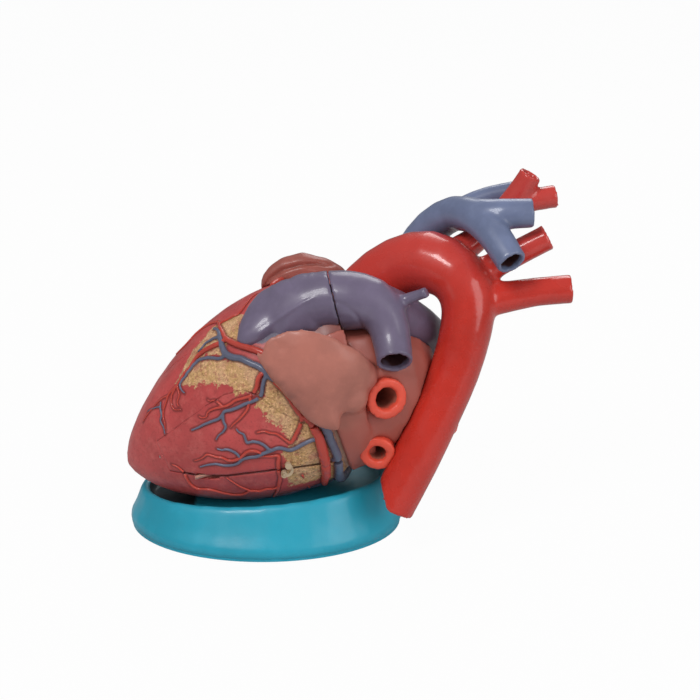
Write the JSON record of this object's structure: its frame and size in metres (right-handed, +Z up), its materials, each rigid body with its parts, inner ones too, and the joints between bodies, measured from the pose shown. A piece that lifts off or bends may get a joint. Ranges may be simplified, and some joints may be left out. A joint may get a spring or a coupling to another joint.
{
  "type": "anatomical heart model",
  "caption": "Enlarged human heart on an oval stand, with removable ventricle walls, a hook catch, inner valves and atria that lift off with the great vessels.",
  "frame": {"origin": "centre of the underside of the oval stand", "axes": "+X from the apex of the heart towards the great vessels, +Z up, -Y out of the left side of the heart, which faces the viewer"},
  "size_m": [0.3336, 0.1728, 0.2674],
  "materials": {
    "stand_paint": "smooth satin gloss moulding",
    "muscle": "hand-painted satin vinyl",
    "atrium": "hand-painted satin vinyl",
    "artery": "glossy painted vinyl",
    "pulmonary": "satin painted vinyl",
    "vein": "satin painted vinyl",
    "valve": "soft cream vinyl",
    "cord": "cream filament",
    "fitting": "cream moulding",
    "steel": "plain steel",
    "magnet": "nickel plated"
  },
  "bodies": {
    "stand": {"stand_bowl": "stand_paint", "stand_base_plate": "stand_paint", "stand_screws": "steel", "stand_pins": "steel"},
    "ventricles": {"ventricle_shell": "muscle", "ventricular_septum": "muscle", "valve_plate_ring": "valve", "mitral_valve": "valve", "tricuspid_valve": "valve", "aortic_valve": "valve", "left_papillary_muscles": "muscle", "right_papillary_muscles": "muscle", "left_chords": "cord", "right_chords": "cord", "pulmonary_trunk_root": "pulmonary", "coronary_arteries": "artery", "cardiac_veins": "vein", "ventricle_magnets": "magnet", "hook_catch_pin": "steel"},
    "left_wall": {"left_ventricle_wall": "muscle", "left_wall_magnets": "magnet", "left_wall_tongue": "fitting", "hook_pivot_pin": "steel"},
    "hook": {"closure_hook": "fitting"},
    "right_wall": {"right_ventricle_wall": "muscle", "right_wall_magnets": "magnet"},
    "upper_heart": {"left_atrium": "atrium", "right_atrium": "atrium", "atrial_septum": "atrium", "left_auricle": "atrium", "right_auricle": "atrium", "aorta": "artery", "pulmonary_arteries": "pulmonary", "superior_vena_cava": "vein", "inferior_vena_cava": "vein", "left_pulmonary_veins": "artery", "right_pulmonary_veins": "artery", "atrial_pegs": "fitting"}
  },
  "joints": [
    {"name": "heart_lift", "type": "slide", "parent": "stand", "child": "ventricles", "axis": [0, 0, 1], "range_m": [0, 0.12]},
    {"name": "left_wall_slide", "type": "slide", "parent": "ventricles", "child": "left_wall", "axis": [0.0715, -0.9974, 0], "range_m": [0, 0.09]},
    {"name": "hook_turn", "type": "hinge", "parent": "left_wall", "child": "hook", "pos_m": [0.01955, -0.06833, 0.07353], "axis": [0.0715, -0.9974, 0], "range_deg": [0, 75]},
    {"name": "right_wall_slide", "type": "slide", "parent": "ventricles", "child": "right_wall", "axis": [-0.3159, 0.6863, 0.6552], "range_m": [0, 0.09]},
    {"name": "upper_heart_slide", "type": "slide", "parent": "ventricles", "child": "upper_heart", "axis": [0.9242, 0.0662, 0.3762], "range_m": [0, 0.11]}
  ]
}
